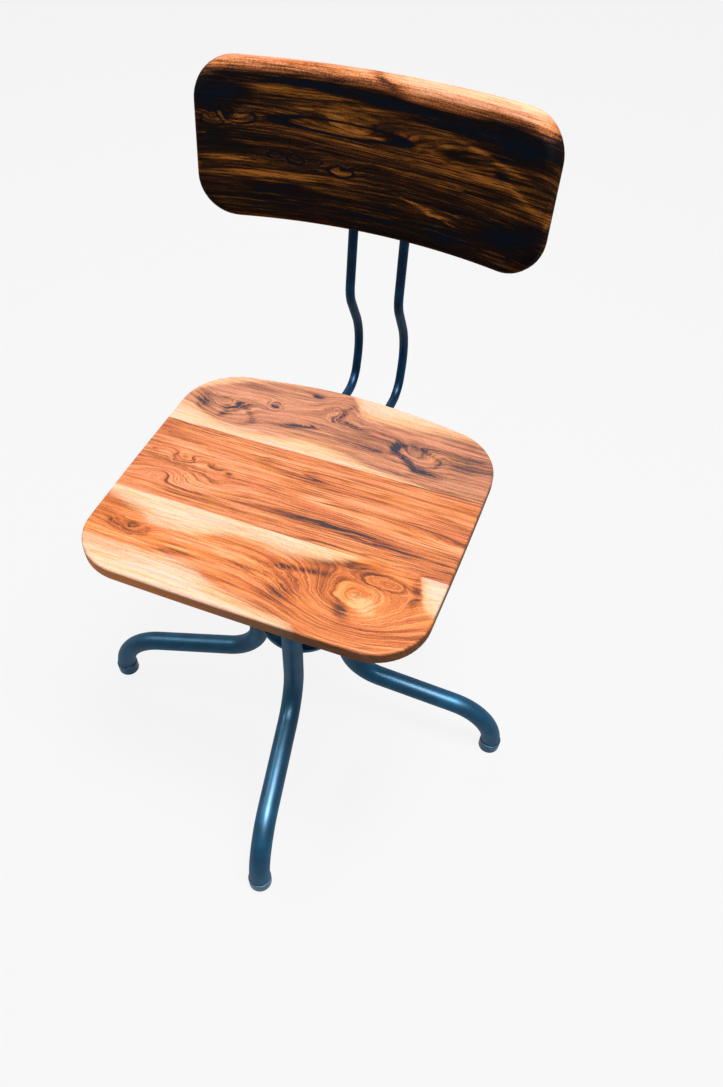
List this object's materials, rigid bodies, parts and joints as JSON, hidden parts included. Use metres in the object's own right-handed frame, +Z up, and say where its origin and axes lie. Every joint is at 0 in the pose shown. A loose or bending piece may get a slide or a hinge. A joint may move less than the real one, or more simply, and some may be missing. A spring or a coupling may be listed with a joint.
{
  "type": "bankers swivel chair",
  "caption": "Armless swivel chair with a plank seat and a curved wooden backrest on bent rods, over a column with splayed bent-tube legs and a screw height adjuster.",
  "frame": {"origin": "on the floor, on the axis of the column and the screw spindle", "axes": "+Z up along the spindle; +X to the viewer's right; the sitter faces -Y and the backrest is on the +Y side"},
  "size_m": [0.6135, 0.6088, 0.8481],
  "materials": {
    "seat_wood": "clear-lacquered rosewood with satin sheen, warm orange brown with dark figure and pale sapwood",
    "backrest_wood": "clear-lacquered rosewood with satin sheen, dark brown with golden streaks",
    "painted_steel": "semi-gloss dark petrol blue powder coat with a fine orange-peel texture",
    "bright_steel": "machined or zinc-plated steel",
    "bronze": "turned bearing bronze",
    "rubber": "smooth dark blue-black rubber"
  },
  "bodies": {
    "base": {"leg_front": "painted_steel", "leg_right": "painted_steel", "leg_rear": "painted_steel", "leg_left": "painted_steel", "ferrule_front": "rubber", "ferrule_right": "rubber", "ferrule_rear": "rubber", "ferrule_left": "rubber", "lower_leg_plate": "painted_steel", "upper_leg_plate": "painted_steel", "column_tube": "painted_steel", "guide_bush_lower": "bronze", "guide_bush_upper": "bronze", "guide_key_screw": "bright_steel", "nut_washer": "bright_steel"},
    "hand_nut": {"height_hand_nut": "painted_steel"},
    "spindle": {"screw_spindle": "bright_steel", "thrust_washer": "bright_steel", "retaining_washer": "bright_steel", "retaining_nut": "bright_steel"},
    "seat": {"swivel_housing": "painted_steel", "swivel_bush_lower": "bronze", "swivel_bush_upper": "bronze", "clamp_plate": "painted_steel", "cross_bar_front": "painted_steel", "cross_bar_rear": "painted_steel", "clamp_bolt_1": "bright_steel", "clamp_bolt_2": "bright_steel", "clamp_bolt_3": "bright_steel", "clamp_bolt_4": "bright_steel", "clamp_nut_1": "bright_steel", "clamp_nut_2": "bright_steel", "clamp_nut_3": "bright_steel", "clamp_nut_4": "bright_steel", "seat_rail_left": "painted_steel", "seat_rail_right": "painted_steel", "seat_screw_1": "bright_steel", "seat_screw_2": "bright_steel", "seat_screw_3": "bright_steel", "seat_screw_4": "bright_steel", "seat_screw_5": "bright_steel", "seat_screw_6": "bright_steel", "seat_plank_front": "seat_wood", "seat_plank_middle": "seat_wood", "seat_plank_rear": "seat_wood", "back_rod_left": "painted_steel", "back_rod_right": "painted_steel", "backrest_plate": "painted_steel", "backrest_panel": "backrest_wood", "backrest_screw_1": "bright_steel", "backrest_screw_2": "bright_steel", "backrest_screw_3": "bright_steel", "backrest_screw_4": "bright_steel"}
  },
  "joints": [
    {"name": "nut_turn", "type": "hinge", "parent": "base", "child": "hand_nut", "pos_m": [0, 0, 0.351], "axis": [0, 0, -1], "range_deg": [0, 7200]},
    {"name": "height_adjust", "type": "slide", "parent": "base", "child": "spindle", "axis": [0, 0, 1], "range_m": [0, 0.1]},
    {"name": "seat_swivel", "type": "hinge", "parent": "spindle", "child": "seat", "pos_m": [0, 0, 0.4], "axis": [0, 0, 1], "continuous": true}
  ],
  "couplings": [
    {"joint": "nut_turn", "follows": "height_adjust", "rad_per_m": 1256.6}
  ]
}
